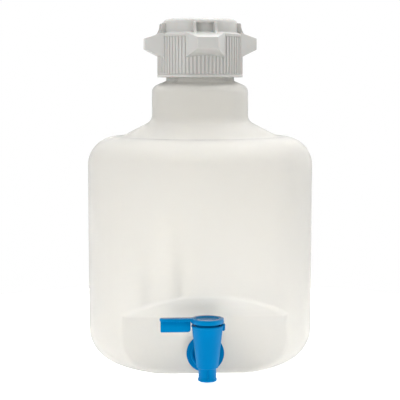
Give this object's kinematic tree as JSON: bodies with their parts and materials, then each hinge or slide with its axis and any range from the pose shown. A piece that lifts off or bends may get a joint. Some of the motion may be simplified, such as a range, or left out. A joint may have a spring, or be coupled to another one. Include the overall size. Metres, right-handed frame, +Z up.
{
  "type": "detergent dispenser bottle",
  "caption": "Round translucent bottle with a lugged screw closure and a quarter-turn plug tap standing in a recess at the foot.",
  "frame": {"origin": "centre of the base on the bottle's axis, on the surface it stands on", "axes": "+Z up along the bottle's axis, -Y towards the tap, +X to the right of someone facing the tap"},
  "size_m": [0.25, 0.2672, 0.3797],
  "materials": {
    "bottle": "translucent natural polypropylene, satin moulded",
    "closure": "white polypropylene, satin moulded",
    "closure_insert": "white polypropylene, satin moulded",
    "gasket": "soft pale silicone",
    "tap": "blue polypropylene, semi-gloss moulded",
    "tap_lever": "blue polypropylene, semi-gloss moulded",
    "seal": "black rubber"
  },
  "bodies": {
    "bottle": {"bottle_body": "bottle", "tap_body": "tap", "tap_outer_seal": "gasket", "tap_inner_seal": "gasket", "tap_nut": "tap"},
    "tap_handle": {"tap_plug": "tap_lever", "tap_o_ring": "seal"},
    "closure_disc": {"cap_insert": "closure_insert", "cap_gasket": "gasket"},
    "closure_ring": {"cap_collar": "closure"}
  },
  "joints": [
    {"name": "tap_turn", "type": "hinge", "parent": "bottle", "child": "tap_handle", "pos_m": [0, -0.125, 0.06], "axis": [0, 0, 1], "range_deg": [0, 90]},
    {"name": "closure_lift", "type": "slide", "parent": "bottle", "child": "closure_disc", "axis": [0, 0, 1], "range_m": [0, 0.009]},
    {"name": "closure_turn", "type": "hinge", "parent": "closure_disc", "child": "closure_ring", "pos_m": [0, 0, 0.345], "axis": [0, 0, 1], "range_deg": [0, 540]}
  ],
  "couplings": [
    {"joint": "closure_lift", "follows": "closure_turn", "m_per_rad": 0.00095493}
  ]
}
